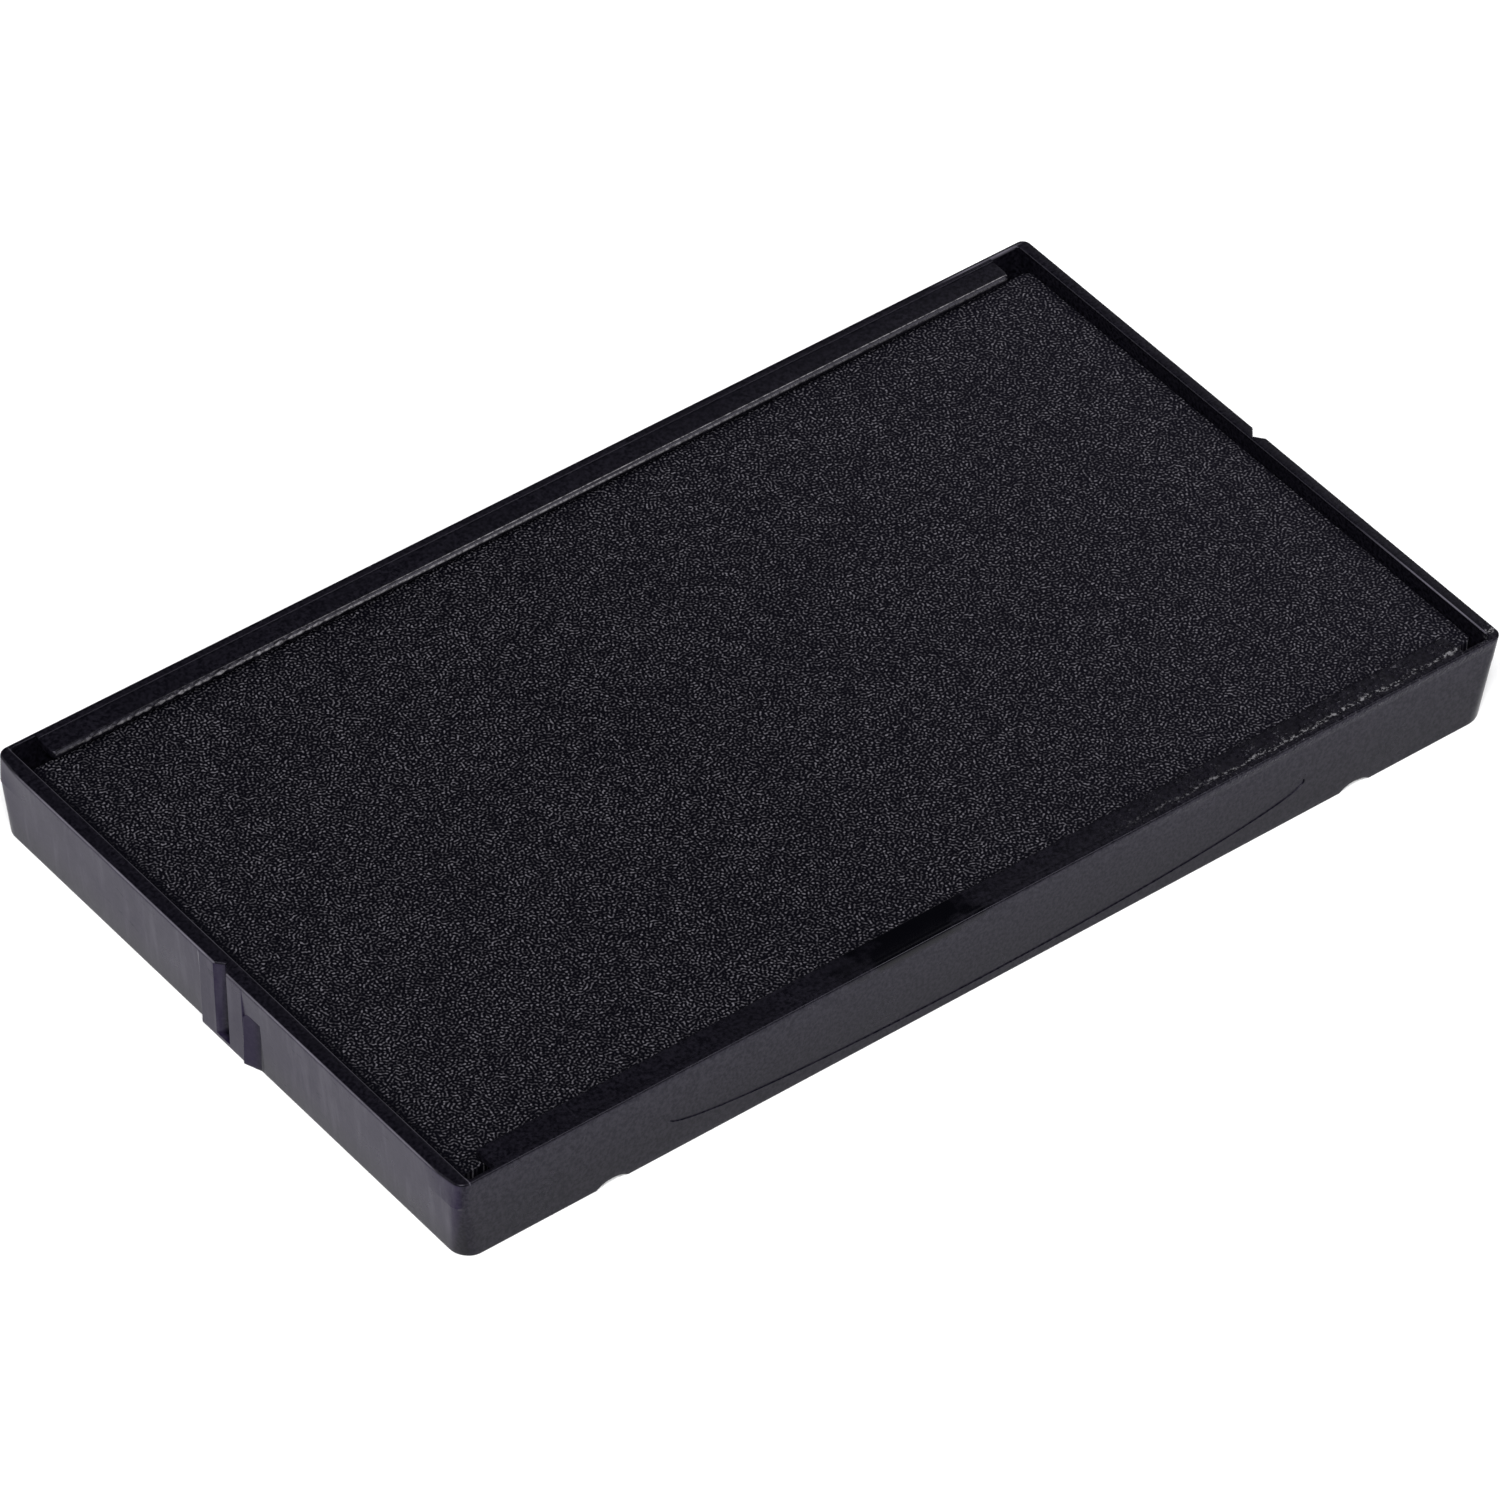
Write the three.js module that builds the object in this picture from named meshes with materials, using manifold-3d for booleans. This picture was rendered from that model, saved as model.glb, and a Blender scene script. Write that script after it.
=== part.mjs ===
// Ink pad cassette: a shallow moulded tray that holds an ink reservoir under a thin printing cover.
// It slides into the pad slot of a self-inking stamp.
// Millimetres. +X runs along the length, +Y across it and +Z up, out of the open side of the tray.
// The origin is the middle of the tray's outline, on the plane that the tray rests on.

import * as THREE from 'three';
import { mergeVertices } from 'three/addons/utils/BufferGeometryUtils.js';
import Module from 'manifold-3d';

const wasm = await Module();
wasm.setup();

// Tray outline
const LENGTH = 66;
const WIDTH = 38.6;
const HEIGHT = 5.2;
const CORNER_RADIUS = 1.2;
const END_DRAFT = 0.42; // how far each end wall leans in at its foot

// Tray walls
const LEFT_WALL = 0.94; // end wall at -X
const RIGHT_WALL = 0.7; // end wall at +X
const SIDE_WALL = 0.5;
const THIN_WALL = 0.27; // the long walls beyond the lips' ends
const THIN_WALL_X = 30.8; // where the long walls turn thinner
const CAVITY_RADIUS = 0.3;
const FLOOR = 1.0;

// Lips that hold the pad down along both long walls
const LIP_LENGTH = 61;
const LIP_REACH = 1.87; // from the outer face of the wall
const LIP_THICKNESS = 0.5;
const LIP_DROP = 0.08; // below the rim
const LIP_END_RADIUS = 0.25;

// Upright panel, wedge and pocket in the middle of each end wall
const PANEL_WIDTH = 3.6;
const PANEL_INSET = 0.14; // from the rim's outer edge
const PANEL_ROOT = 0.6; // how deep the panel is rooted in the wall
const POCKET_DEPTH = 0.45;
const POCKET_WIDTH = 1.3;
const POCKET_SLOPE_WIDTH = 1.0;
const POCKET_HEIGHT = 3.55;

// Locating groove down the middle of each end panel
const GROOVE_HALF_WIDTH = 0.55;
const GROOVE_DEPTH = 0.44;
const GROOVE_FOOT = 0.3; // ledge that closes the groove at its foot

// Shallow oval recess in each long wall
const OVAL_LENGTH = 40.2;
const OVAL_HEIGHT = 3.5;
const OVAL_CENTRE_Z = 2.33;
const OVAL_DEPTH = 0.12;

// Underside: a recess inside a rim, and arched slots through the rim
const FOOT_WIDTH = 1.4;
const FOOT_HEIGHT = 0.4;
const SLOT_X = 23.5;
const SLOT_WIDTH = 1.95;
const SLOT_HEIGHT = 0.33;

// Soft parts
const PAD_TOP = 4.35;
const COVER_THICKNESS = 0.7;
const COVER_LENGTH = 64.1;
const COVER_WIDTH = 35.8;
const RESERVOIR_LENGTH = 63.8;
const RESERVOIR_WIDTH = 35.5;
const PAD_RADIUS = 0.8;

const CORNER_SEGMENTS = 8;
const OVAL_SEGMENTS = 96;
const SLOT_SEGMENTS = 64;
const CLEAR = 1; // how far a cutter runs past the face that it cuts

const halfLength = LENGTH / 2;
const halfWidth = WIDTH / 2;
const cavityX = (LEFT_WALL - RIGHT_WALL) / 2;

// The geometry as a solid that can be joined and cut.
function solid(geometry) {
	const bare = geometry.clone();
	bare.deleteAttribute('normal');
	bare.deleteAttribute('uv');
	const merged = mergeVertices(bare, 1e-4);
	return new wasm.Manifold(new wasm.Mesh({
		numProp: 3,
		vertProperties: merged.attributes.position.array,
		triVerts: new Uint32Array(merged.index.array),
	}));
}

function geometryOf(body) {
	const mesh = body.getMesh();
	const indexed = new THREE.BufferGeometry();
	indexed.setAttribute('position', new THREE.BufferAttribute(mesh.vertProperties, mesh.numProp));
	indexed.setIndex(new THREE.BufferAttribute(mesh.triVerts, 1));
	const faceted = indexed.toNonIndexed();
	faceted.computeVertexNormals();
	return faceted;
}

function roundedRectangle(halfX, halfY, radius) {
	const shape = new THREE.Shape();
	shape.absarc(halfX - radius, halfY - radius, radius, 0, Math.PI / 2);
	shape.absarc(radius - halfX, halfY - radius, radius, Math.PI / 2, Math.PI);
	shape.absarc(radius - halfX, radius - halfY, radius, Math.PI, 1.5 * Math.PI);
	shape.absarc(halfX - radius, radius - halfY, radius, 1.5 * Math.PI, 2 * Math.PI);
	return shape;
}

// The cavity in plan, wider beyond the lips' ends, where the long walls are thinner.
function cavityOutline() {
	const far = halfLength - (LEFT_WALL + RIGHT_WALL) / 2 - CAVITY_RADIUS;
	const wide = halfWidth - THIN_WALL;
	const side = wide - CAVITY_RADIUS;
	const narrow = halfWidth - SIDE_WALL;
	const shape = new THREE.Shape();
	shape.absarc(far, side, CAVITY_RADIUS, 0, Math.PI / 2);
	shape.lineTo(THIN_WALL_X, wide);
	shape.lineTo(THIN_WALL_X, narrow);
	shape.lineTo(-THIN_WALL_X, narrow);
	shape.lineTo(-THIN_WALL_X, wide);
	shape.absarc(-far, side, CAVITY_RADIUS, Math.PI / 2, Math.PI);
	shape.absarc(-far, -side, CAVITY_RADIUS, Math.PI, 1.5 * Math.PI);
	shape.lineTo(-THIN_WALL_X, -wide);
	shape.lineTo(-THIN_WALL_X, -narrow);
	shape.lineTo(THIN_WALL_X, -narrow);
	shape.lineTo(THIN_WALL_X, -wide);
	shape.absarc(far, -side, CAVITY_RADIUS, 1.5 * Math.PI, 2 * Math.PI);
	return shape;
}

// An outline in plan, extruded from height z0 to height z1.
function upright(shape, z0, z1, curveSegments = CORNER_SEGMENTS) {
	const geometry = new THREE.ExtrudeGeometry(shape, {
		depth: z1 - z0,
		bevelEnabled: false,
		curveSegments,
	});
	return geometry.translate(0, 0, z0);
}

// An outline given in X and Z, extruded along Y from y0 to y1.
function crosswise(shape, y0, y1, curveSegments) {
	const geometry = new THREE.ExtrudeGeometry(shape, {
		depth: y1 - y0,
		bevelEnabled: false,
		curveSegments,
	});
	return geometry.rotateX(Math.PI / 2).translate(0, y1, 0);
}

// Leans the end walls in towards the foot.
function leanEnds(geometry) {
	const position = geometry.attributes.position;
	for (let i = 0; i < position.count; i += 1) {
		const x = position.getX(i);
		const drop = 1 - position.getZ(i) / HEIGHT;
		position.setX(i, x - Math.sign(x) * END_DRAFT * drop);
	}
	return geometry;
}

// A plan outline at the -X end: each point is [depth in from the rim's outer edge, y].
function endOutline(points) {
	return new THREE.Shape(points.map(([depth, y]) => new THREE.Vector2(depth - halfLength, y)));
}

// A feature of the -X end panel, from height z0 to height z1, and the same turned half round to the +X end.
function bothEnds(shape, z0, z1) {
	const left = upright(shape, z0, z1);
	const right = left.clone().rotateZ(Math.PI);
	return solid(left).add(solid(right));
}

function makeShell() {
	const outline = roundedRectangle(halfLength, halfWidth, CORNER_RADIUS);
	const outside = leanEnds(upright(outline, 0, HEIGHT));
	const cavity = upright(cavityOutline(), FLOOR, HEIGHT + CLEAR).translate(cavityX, 0, 0);
	return solid(outside).subtract(solid(cavity));
}

function makeLips() {
	const top = HEIGHT - LIP_DROP;
	const root = SIDE_WALL / 2;
	const width = LIP_REACH - root;
	const shape = roundedRectangle(LIP_LENGTH / 2, width / 2, LIP_END_RADIUS);
	const front = upright(shape, top - LIP_THICKNESS, top).translate(0, root + width / 2 - halfWidth, 0);
	const back = front.clone().rotateZ(Math.PI);
	return solid(front).add(solid(back));
}

function makePanels() {
	const half = PANEL_WIDTH / 2;
	const panel = endOutline([
		[PANEL_INSET, half],
		[PANEL_INSET, -half],
		[PANEL_ROOT, -half],
		[PANEL_ROOT, half],
	]);
	const wedge = endOutline([
		[PANEL_INSET, half],
		[PANEL_INSET, -half],
		[POCKET_DEPTH, -half - POCKET_SLOPE_WIDTH],
		[PANEL_ROOT, -half - POCKET_SLOPE_WIDTH],
		[PANEL_ROOT, half],
	]);
	return bothEnds(panel, 0, HEIGHT).add(bothEnds(wedge, 0, POCKET_HEIGHT));
}

// What is cut away in front of the panels and beside them.
function makePanelCutters() {
	const half = PANEL_WIDTH / 2;
	const face = endOutline([
		[-CLEAR, half],
		[-CLEAR, -half],
		[PANEL_INSET, -half],
		[PANEL_INSET, half],
	]);
	const pocket = endOutline([
		[-CLEAR, -half],
		[-CLEAR, -half - POCKET_WIDTH],
		[POCKET_DEPTH, -half - POCKET_WIDTH],
		[POCKET_DEPTH, -half - POCKET_SLOPE_WIDTH],
		[PANEL_INSET, -half],
	]);
	return bothEnds(face, -CLEAR, HEIGHT + CLEAR).add(bothEnds(pocket, -CLEAR, POCKET_HEIGHT));
}

function makeGrooves() {
	const slope = GROOVE_HALF_WIDTH / GROOVE_DEPTH;
	const mouth = (GROOVE_DEPTH + CLEAR) * slope;
	const groove = endOutline([
		[GROOVE_DEPTH, 0],
		[-CLEAR, mouth],
		[-CLEAR, -mouth],
	]);
	return bothEnds(groove, GROOVE_FOOT, HEIGHT + CLEAR);
}

function makeOvals() {
	const shape = new THREE.Shape();
	shape.absellipse(0, OVAL_CENTRE_Z, OVAL_LENGTH / 2, OVAL_HEIGHT / 2, 0, 2 * Math.PI);
	const front = crosswise(shape, -halfWidth - CLEAR, -halfWidth + OVAL_DEPTH, OVAL_SEGMENTS);
	const back = front.clone().rotateZ(Math.PI);
	return solid(front).add(solid(back));
}

function makeUndersideCutters() {
	const inset = END_DRAFT + FOOT_WIDTH;
	const recess = roundedRectangle(halfLength - inset, halfWidth - FOOT_WIDTH, CAVITY_RADIUS);
	let cutters = solid(upright(recess, -CLEAR, FOOT_HEIGHT));
	const radius = (SLOT_WIDTH ** 2 / 4 + SLOT_HEIGHT ** 2) / (2 * SLOT_HEIGHT);
	for (const x of [-SLOT_X, SLOT_X]) {
		const slot = new THREE.CylinderGeometry(radius, radius, WIDTH + 2 * CLEAR, SLOT_SEGMENTS);
		cutters = cutters.add(solid(slot.translate(x, 0, SLOT_HEIGHT - radius)));
	}
	return cutters;
}

function makeTray() {
	let body = makeShell().add(makeLips()).add(makePanels());
	for (const cutter of [makePanelCutters(), makeGrooves(), makeOvals(), makeUndersideCutters()]) {
		body = body.subtract(cutter);
	}
	return geometryOf(body);
}

function makeSlab(length, width, thickness) {
	return upright(roundedRectangle(length / 2, width / 2, PAD_RADIUS), 0, thickness);
}

function finish(color, roughness) {
	return new THREE.MeshStandardMaterial({ color, roughness, metalness: 0 });
}

const trayMaterial = finish(0x1d1c21, 0.42);
const coverMaterial = finish(0x141318, 0.85);
const reservoirMaterial = finish(0x101014, 0.95);

const inkPad = new THREE.Group();

function place(name, geometry, material, x, z) {
	const mesh = new THREE.Mesh(geometry, material);
	mesh.name = name;
	mesh.position.set(x, 0, z);
	inkPad.add(mesh);
}

const coverFoot = PAD_TOP - COVER_THICKNESS;
const reservoir = makeSlab(RESERVOIR_LENGTH, RESERVOIR_WIDTH, coverFoot - FLOOR);
const cover = makeSlab(COVER_LENGTH, COVER_WIDTH, COVER_THICKNESS);
place('tray', makeTray(), trayMaterial, 0, 0);
place('ink_reservoir', reservoir, reservoirMaterial, cavityX, FLOOR);
place('pad_cover', cover, coverMaterial, cavityX, coverFoot);

export default inkPad;
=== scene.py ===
"""Ink pad cassette of a self-inking stamp: a moulded tray, a felt reservoir and an inked cover cloth.

Shapes are worked out in millimetres in the CAD frame and turned into metres when a mesh is made.
+X runs along the tray, +Y across it and +Z up, out of the open, inked side.
"""
import math

import bmesh
import bpy
import numpy as np
from mathutils import Matrix, Vector, noise


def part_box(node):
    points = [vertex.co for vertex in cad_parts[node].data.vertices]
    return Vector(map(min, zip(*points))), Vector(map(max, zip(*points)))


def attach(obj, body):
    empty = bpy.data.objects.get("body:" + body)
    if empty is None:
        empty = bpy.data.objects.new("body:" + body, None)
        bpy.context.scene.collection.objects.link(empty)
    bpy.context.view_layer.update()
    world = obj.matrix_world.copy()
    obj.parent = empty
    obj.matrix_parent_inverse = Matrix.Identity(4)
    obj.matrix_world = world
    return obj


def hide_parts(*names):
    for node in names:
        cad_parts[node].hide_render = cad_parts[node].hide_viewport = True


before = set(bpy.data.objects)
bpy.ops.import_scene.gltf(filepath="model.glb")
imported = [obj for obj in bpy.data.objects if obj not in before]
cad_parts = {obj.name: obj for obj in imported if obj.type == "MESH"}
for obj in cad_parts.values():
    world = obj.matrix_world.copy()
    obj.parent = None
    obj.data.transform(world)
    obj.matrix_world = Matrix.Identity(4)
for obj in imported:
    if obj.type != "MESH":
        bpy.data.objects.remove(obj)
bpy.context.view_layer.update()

MM = 0.001


def box_mm(node):
    """Lowest and highest corner of a CAD node, in millimetres."""
    low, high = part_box(node)
    return np.array(low) / MM, np.array(high) / MM


# ---------------------------------------------------------------- sizes, in millimetres
TRAY_HIGH = box_mm("tray")[1]
COVER_LOW, COVER_HIGH = box_mm("pad_cover")
RESERVOIR_LOW, RESERVOIR_HIGH = box_mm("ink_reservoir")

HALF_X, HALF_Y, HEIGHT = TRAY_HIGH
CORNER = 1.2
CORNER_TOP = 0.5
CORNER_FOOT = 1.15
RIGHT_CORNER_FOOT = 1.6
EASE_REACH = 3.1
EASE_DEPTH = 0.32
FLOOR = RESERVOIR_LOW[2]
LEFT_WALL = 0.94
RIGHT_WALL = 0.7
SIDE_WALL = 0.5
THIN_WALL = 0.27
CAVITY_CORNER = 0.3
END_DRAFT = 0.42
PARTING_HEIGHT = 3.57
PARTING_STEP = 0.03

LIP_HALF_LENGTH = 30.5
LIP_WIDTH = 1.37
LIP_DROP = 0.08
LIP_THICKNESS = 0.4
LIP_END_RADIUS = 0.25
LIP_EDGE_PROFILE = ((0.0, 0.0), (0.025, 0.004), (0.05, 0.02), (0.145, 0.115), (0.165, 0.145), (0.17, 0.18))

PANEL_HALF = 1.8
PANEL_TOP_INSET = 0.0
PANEL_FOOT_INSET = 0.17
POCKET_END = 3.1
POCKET_FLAT = 2.8
POCKET_DEPTH = 0.45
POCKET_SHOULDER = 3.1
POCKET_SHOULDER_WIDTH = 0.6
GROOVE_HALF = 0.55
GROOVE_DEPTH = 0.44
GROOVE_SLOT_DEPTH = 0.5
GROOVE_SLOT_SIDE = 0.06
GROOVE_FOOT = 0.3
GROOVE_SLOPE_DEPTH = 0.4

OVAL_HALF_LENGTH = 20.1
OVAL_HALF_HEIGHT = 1.75
OVAL_HEIGHT = 2.33
OVAL_DEPTH = 0.055

FOOT_WIDTH = 1.4
FOOT_HEIGHT = 0.4
FOOT_EDGE_RADIUS = 0.12
RIM_EDGE_RADIUS = 0.14
INNER_EDGE_RADIUS = 0.12
ARCH_X = 23.5
ARCH_HALF = 0.975
ARCH_RISE = 0.33
ARCH_BLEND_HEIGHT = 1.2
CORNER_DRAFT_START = 24.0

COVER_STEP = 0.2
COVER_CORNER = 0.4
COVER_EDGE_RADIUS = 0.05
FELT_EDGE = 0.18
FELT_INSET = 0.02
FELT_CORNER = 0.8
FELT_FUZZ = 0.03


def smooth(t):
    """Eases from 0 to 1 as t goes from 0 to 1."""
    t = np.clip(t, 0.0, 1.0)
    return t * t * (3 - 2 * t)


def ramp(t, low, high):
    return np.clip((t - low) / (high - low), 0.0, 1.0)


def spaced(start, stop, step):
    return np.linspace(start, stop, max(2, int(round(abs(stop - start) / step)) + 1))


def wave(points, scale, seed, octaves=3):
    """Smooth noise at points, from about -1 to 1."""
    shift = Vector((seed * 17.3, seed * 5.1, seed * 9.7))
    return np.array([
        noise.fractal(Vector(p) * scale + shift, 1.0, 2.0, octaves) for p in points
    ])


# ---------------------------------------------------------------- mesh helpers
def make_object(name, vertices, faces, sharp_degrees=35.0, merge=1e-4):
    """A mesh object from vertices in millimetres. Coincident vertices are joined."""
    mesh = bpy.data.meshes.new(name)
    mesh.from_pydata((np.asarray(vertices, float) * MM).tolist(), [], faces)
    work = bmesh.new()
    work.from_mesh(mesh)
    bmesh.ops.remove_doubles(work, verts=work.verts, dist=merge * MM)
    bmesh.ops.dissolve_degenerate(work, edges=work.edges, dist=merge * MM)
    bmesh.ops.recalc_face_normals(work, faces=work.faces)
    limit = math.radians(sharp_degrees)
    for face in work.faces:
        face.smooth = True
    for edge in work.edges:
        edge.smooth = len(edge.link_faces) != 2 or edge.calc_face_angle(0.0) < limit
    work.to_mesh(mesh)
    work.free()
    piece = bpy.data.objects.new(name, mesh)
    bpy.context.scene.collection.objects.link(piece)
    return piece


def ring_faces(rings, count):
    """Quads between one closed ring of vertices and the next."""
    faces = []
    for r in range(rings - 1):
        for k in range(count):
            after = (k + 1) % count
            a, b = r * count + k, r * count + after
            faces.append((a, b, b + count, a + count))
    return faces


def ladder_faces(first, count):
    """Fills a ring that is the same on both sides of the X axis, with its first vertex on that axis."""
    faces = []
    for k in range(count // 2):
        a, b = first + k, first + k + 1
        c, d = first + (count - k - 1) % count, first + (count - k) % count
        faces.append((a, b, c, d))
    return faces


# ---------------------------------------------------------------- stations round the tray
class Stations:
    """Places round the tray's outline, from the middle of the -X end and through -Y."""

    def __init__(self):
        self.side, self.along, self.turn, self.lip = [], [], [], []
        left_half = self.end_columns()
        long_half = self.long_columns()
        corner = np.linspace(0, 90, 13)[1:-1]
        self.end_wall("left", [-y for y in left_half])
        self.corner("front_left", 180 + corner)
        self.long_wall("front", [(-x, w) for x, w in reversed(long_half)] + long_half[1:])
        self.corner("front_right", 270 + corner)
        self.end_wall("right", [-y for y in reversed(left_half)] + left_half[1:])
        self.corner("back_right", corner)
        back_right = [(x, w) for x, w in reversed(long_half)]
        back_left = [(-x, w) for x, w in long_half[1:]]
        self.long_wall("back", back_right + back_left)
        self.corner("back_left", 90 + corner)
        self.end_wall("left", list(reversed(left_half))[:-1])
        self.side = np.array(self.side)
        self.along = np.array(self.along, float)
        self.turn = np.radians(np.array(self.turn, float))
        self.lip = np.array(self.lip, float)
        self.count = len(self.side)
        self.on_end = np.isin(self.side, ("left", "right"))
        self.on_long = np.isin(self.side, ("front", "back"))
        self.in_corner = ~(self.on_end | self.on_long)
        self.sign_x = self.sign_of("left", "right", np.cos(self.turn))
        self.sign_y = self.sign_of("front", "back", np.sin(self.turn))

    def sign_of(self, low, high, corner_sign):
        sign = np.where(self.side == low, -1.0, np.where(self.side == high, 1.0, 0.0))
        return np.where(self.in_corner, np.sign(corner_sign), sign)

    def end_columns(self):
        """Distances from the middle of an end wall, closer together round its features."""
        edges = [PANEL_HALF, POCKET_FLAT, POCKET_END, GROOVE_HALF]
        near = [e + d for e in edges for d in (-0.08, -0.04, -0.015, 0.0, 0.015, 0.04, 0.08)]
        slot = [GROOVE_SLOT_SIDE - 0.01, GROOVE_SLOT_SIDE, 0.01, 0.03]
        half = HALF_Y - CORNER
        found = np.concatenate([
            spaced(0, 3.6, 0.06), spaced(3.6, half - 1.0, 0.35), spaced(half - 1.0, half, 0.12), near, slot,
        ])
        return sorted(set(np.round(found, 4)))

    def long_columns(self):
        """(distance from the middle of a long wall, lip width), closer together round its features."""
        tip = OVAL_HALF_LENGTH * np.sin(np.radians(np.arange(76, 91, 1.0)))
        arch = spaced(ARCH_X - ARCH_HALF, ARCH_X + ARCH_HALF, 0.075)
        turn = np.radians(np.linspace(0, 90, 9))
        lip_end = LIP_HALF_LENGTH - LIP_END_RADIUS * (1 - np.cos(turn))
        half = HALF_X - CORNER
        found = np.concatenate([spaced(0, half, 0.16), tip, arch, lip_end])
        columns = []
        for x in sorted(set(np.round(found, 4))):
            if x <= LIP_HALF_LENGTH:
                past = max(0.0, x - (LIP_HALF_LENGTH - LIP_END_RADIUS))
                inner = LIP_WIDTH - LIP_END_RADIUS
                columns.append((x, inner + math.sqrt(max(0.0, LIP_END_RADIUS ** 2 - past ** 2))))
            if x >= LIP_HALF_LENGTH:
                columns.append((x, 0.0))
        return columns

    def add(self, side, along, turn, lip):
        self.side.append(side)
        self.along.append(along)
        self.turn.append(turn)
        self.lip.append(lip)

    def end_wall(self, side, places):
        for y in places:
            self.add(side, y, 180 if side == "left" else 0, 0.0)

    def long_wall(self, side, places):
        for x, width in places:
            self.add(side, x, 270 if side == "front" else 90, width)

    def corner(self, side, degrees):
        for angle in degrees:
            self.add(side, 0.0, angle, 0.0)

    def outline(self, half_x, half_y, radius, shift_x=0.0):
        """Where each station is on a rounded rectangle. Wall stations only move near corners."""
        x = np.where(self.in_corner, self.sign_x * (half_x - radius) + radius * np.cos(self.turn), 0.0)
        y = np.where(self.in_corner, self.sign_y * (half_y - radius) + radius * np.sin(self.turn), 0.0)
        x = np.where(self.on_end, self.sign_x * half_x, x)
        y = np.where(self.on_long, self.sign_y * half_y, y)
        fixed_x = LIP_HALF_LENGTH + 0.1
        fixed_y = HALF_Y - CORNER - 1.0
        x = np.where(self.on_long, self.squeeze(HALF_X - CORNER, half_x - radius, fixed_x), x)
        y = np.where(self.on_end, self.squeeze(HALF_Y - CORNER, half_y - radius, fixed_y), y)
        near_corner = smooth(ramp(np.abs(self.along), fixed_x, HALF_X - CORNER))
        keep = np.where(self.on_long, 1 - near_corner, 0)
        return np.stack([x + shift_x * (1 - keep), y], 1)

    def squeeze(self, outer_half, inner_half, fixed):
        """Places along a wall, drawn in past the distance called fixed so that they end at inner_half."""
        u = np.abs(self.along)
        past = np.maximum(0.0, u - fixed) * (inner_half - fixed) / (outer_half - fixed)
        return np.sign(self.along) * (np.minimum(u, fixed) + past)

    def inward(self):
        return -np.stack([np.cos(self.turn), np.sin(self.turn)], 1)


# ---------------------------------------------------------------- the tray's outer walls
def parting_height(st):
    """Height of the parting line, which drops round the top of the pocket beside each end panel."""
    pocket_side = np.where(st.side == "left", -st.along, st.along)
    past = ramp(pocket_side, PANEL_HALF, PANEL_HALF + POCKET_SHOULDER_WIDTH)
    arc = np.sqrt(np.maximum(0.0, 1 - (1 - past) ** 2))
    shoulder = POCKET_SHOULDER + (PARTING_HEIGHT - POCKET_SHOULDER) * arc
    rise = 1 - smooth(ramp(pocket_side, PANEL_HALF - 0.35, PANEL_HALF))
    beside_panel = POCKET_SHOULDER + (PARTING_HEIGHT - POCKET_SHOULDER) * rise
    height = np.where(pocket_side < PANEL_HALF, beside_panel, shoulder)
    return np.where(st.on_end, height, PARTING_HEIGHT)


def panel_depth(z):
    return PANEL_FOOT_INSET + (PANEL_TOP_INSET - PANEL_FOOT_INSET) * z / HEIGHT


def groove_profile(y):
    """Depth of the locating groove below the panel: a V with a narrow slot on one side of its root."""
    slope_far = GROOVE_SLOPE_DEPTH * ramp(y, GROOVE_HALF, GROOVE_SLOT_SIDE)
    slope_near = GROOVE_DEPTH * ramp(y, -GROOVE_HALF, 0.0)
    slot = GROOVE_SLOT_DEPTH * ((y >= 0.02) & (y < GROOVE_SLOT_SIDE - 0.005))
    return np.maximum(np.where(y < 0.02, slope_near, slope_far), slot)


def corner_radius(sign_x, z):
    foot = np.where(sign_x > 0, RIGHT_CORNER_FOOT, CORNER_FOOT)
    return foot + (CORNER_TOP - foot) * z / HEIGHT


def easing(sign_x, y, z):
    """How far the -X end wall is set back near its corners, above the parting line."""
    near_corner = ramp(np.abs(y), HALF_Y - EASE_REACH, HALF_Y)
    return EASE_DEPTH * (sign_x < 0) * near_corner ** 2 * ramp(z, PARTING_HEIGHT, HEIGHT)


def end_depth(st, z, below_parting):
    """How far in from the rim's outer edge an end wall is, at height z."""
    turned = np.where(st.side == "left", st.along, -st.along)
    wall = END_DRAFT * (1 - z / HEIGHT) + PARTING_STEP * below_parting
    on_panel = 1 - smooth(ramp(np.abs(turned), PANEL_HALF - 0.03, PANEL_HALF + 0.02))
    depth = wall + (panel_depth(z) - wall) * on_panel
    slope = ramp(-turned, PANEL_HALF, POCKET_FLAT)
    start = panel_depth(PARTING_HEIGHT)
    pocket = start + (POCKET_DEPTH - start) * slope
    in_pocket = below_parting * smooth(ramp(-turned, PANEL_HALF - 0.01, PANEL_HALF + 0.02))
    in_pocket = in_pocket * (1 - smooth(ramp(-turned, POCKET_END - 0.04, POCKET_END)))
    depth = depth + (pocket - depth) * in_pocket
    return depth + groove_profile(turned) * (z > GROOVE_FOOT)


def arch_rise(st):
    """How far the foot is lifted over the arched slots."""
    radius = (ARCH_HALF ** 2 + ARCH_RISE ** 2) / (2 * ARCH_RISE)
    past = np.abs(np.abs(st.along) - ARCH_X)
    rise = np.sqrt(np.maximum(0.0, radius ** 2 - past ** 2)) - (radius - ARCH_RISE)
    return np.where(st.on_long, np.maximum(0.0, rise), 0.0)


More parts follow.
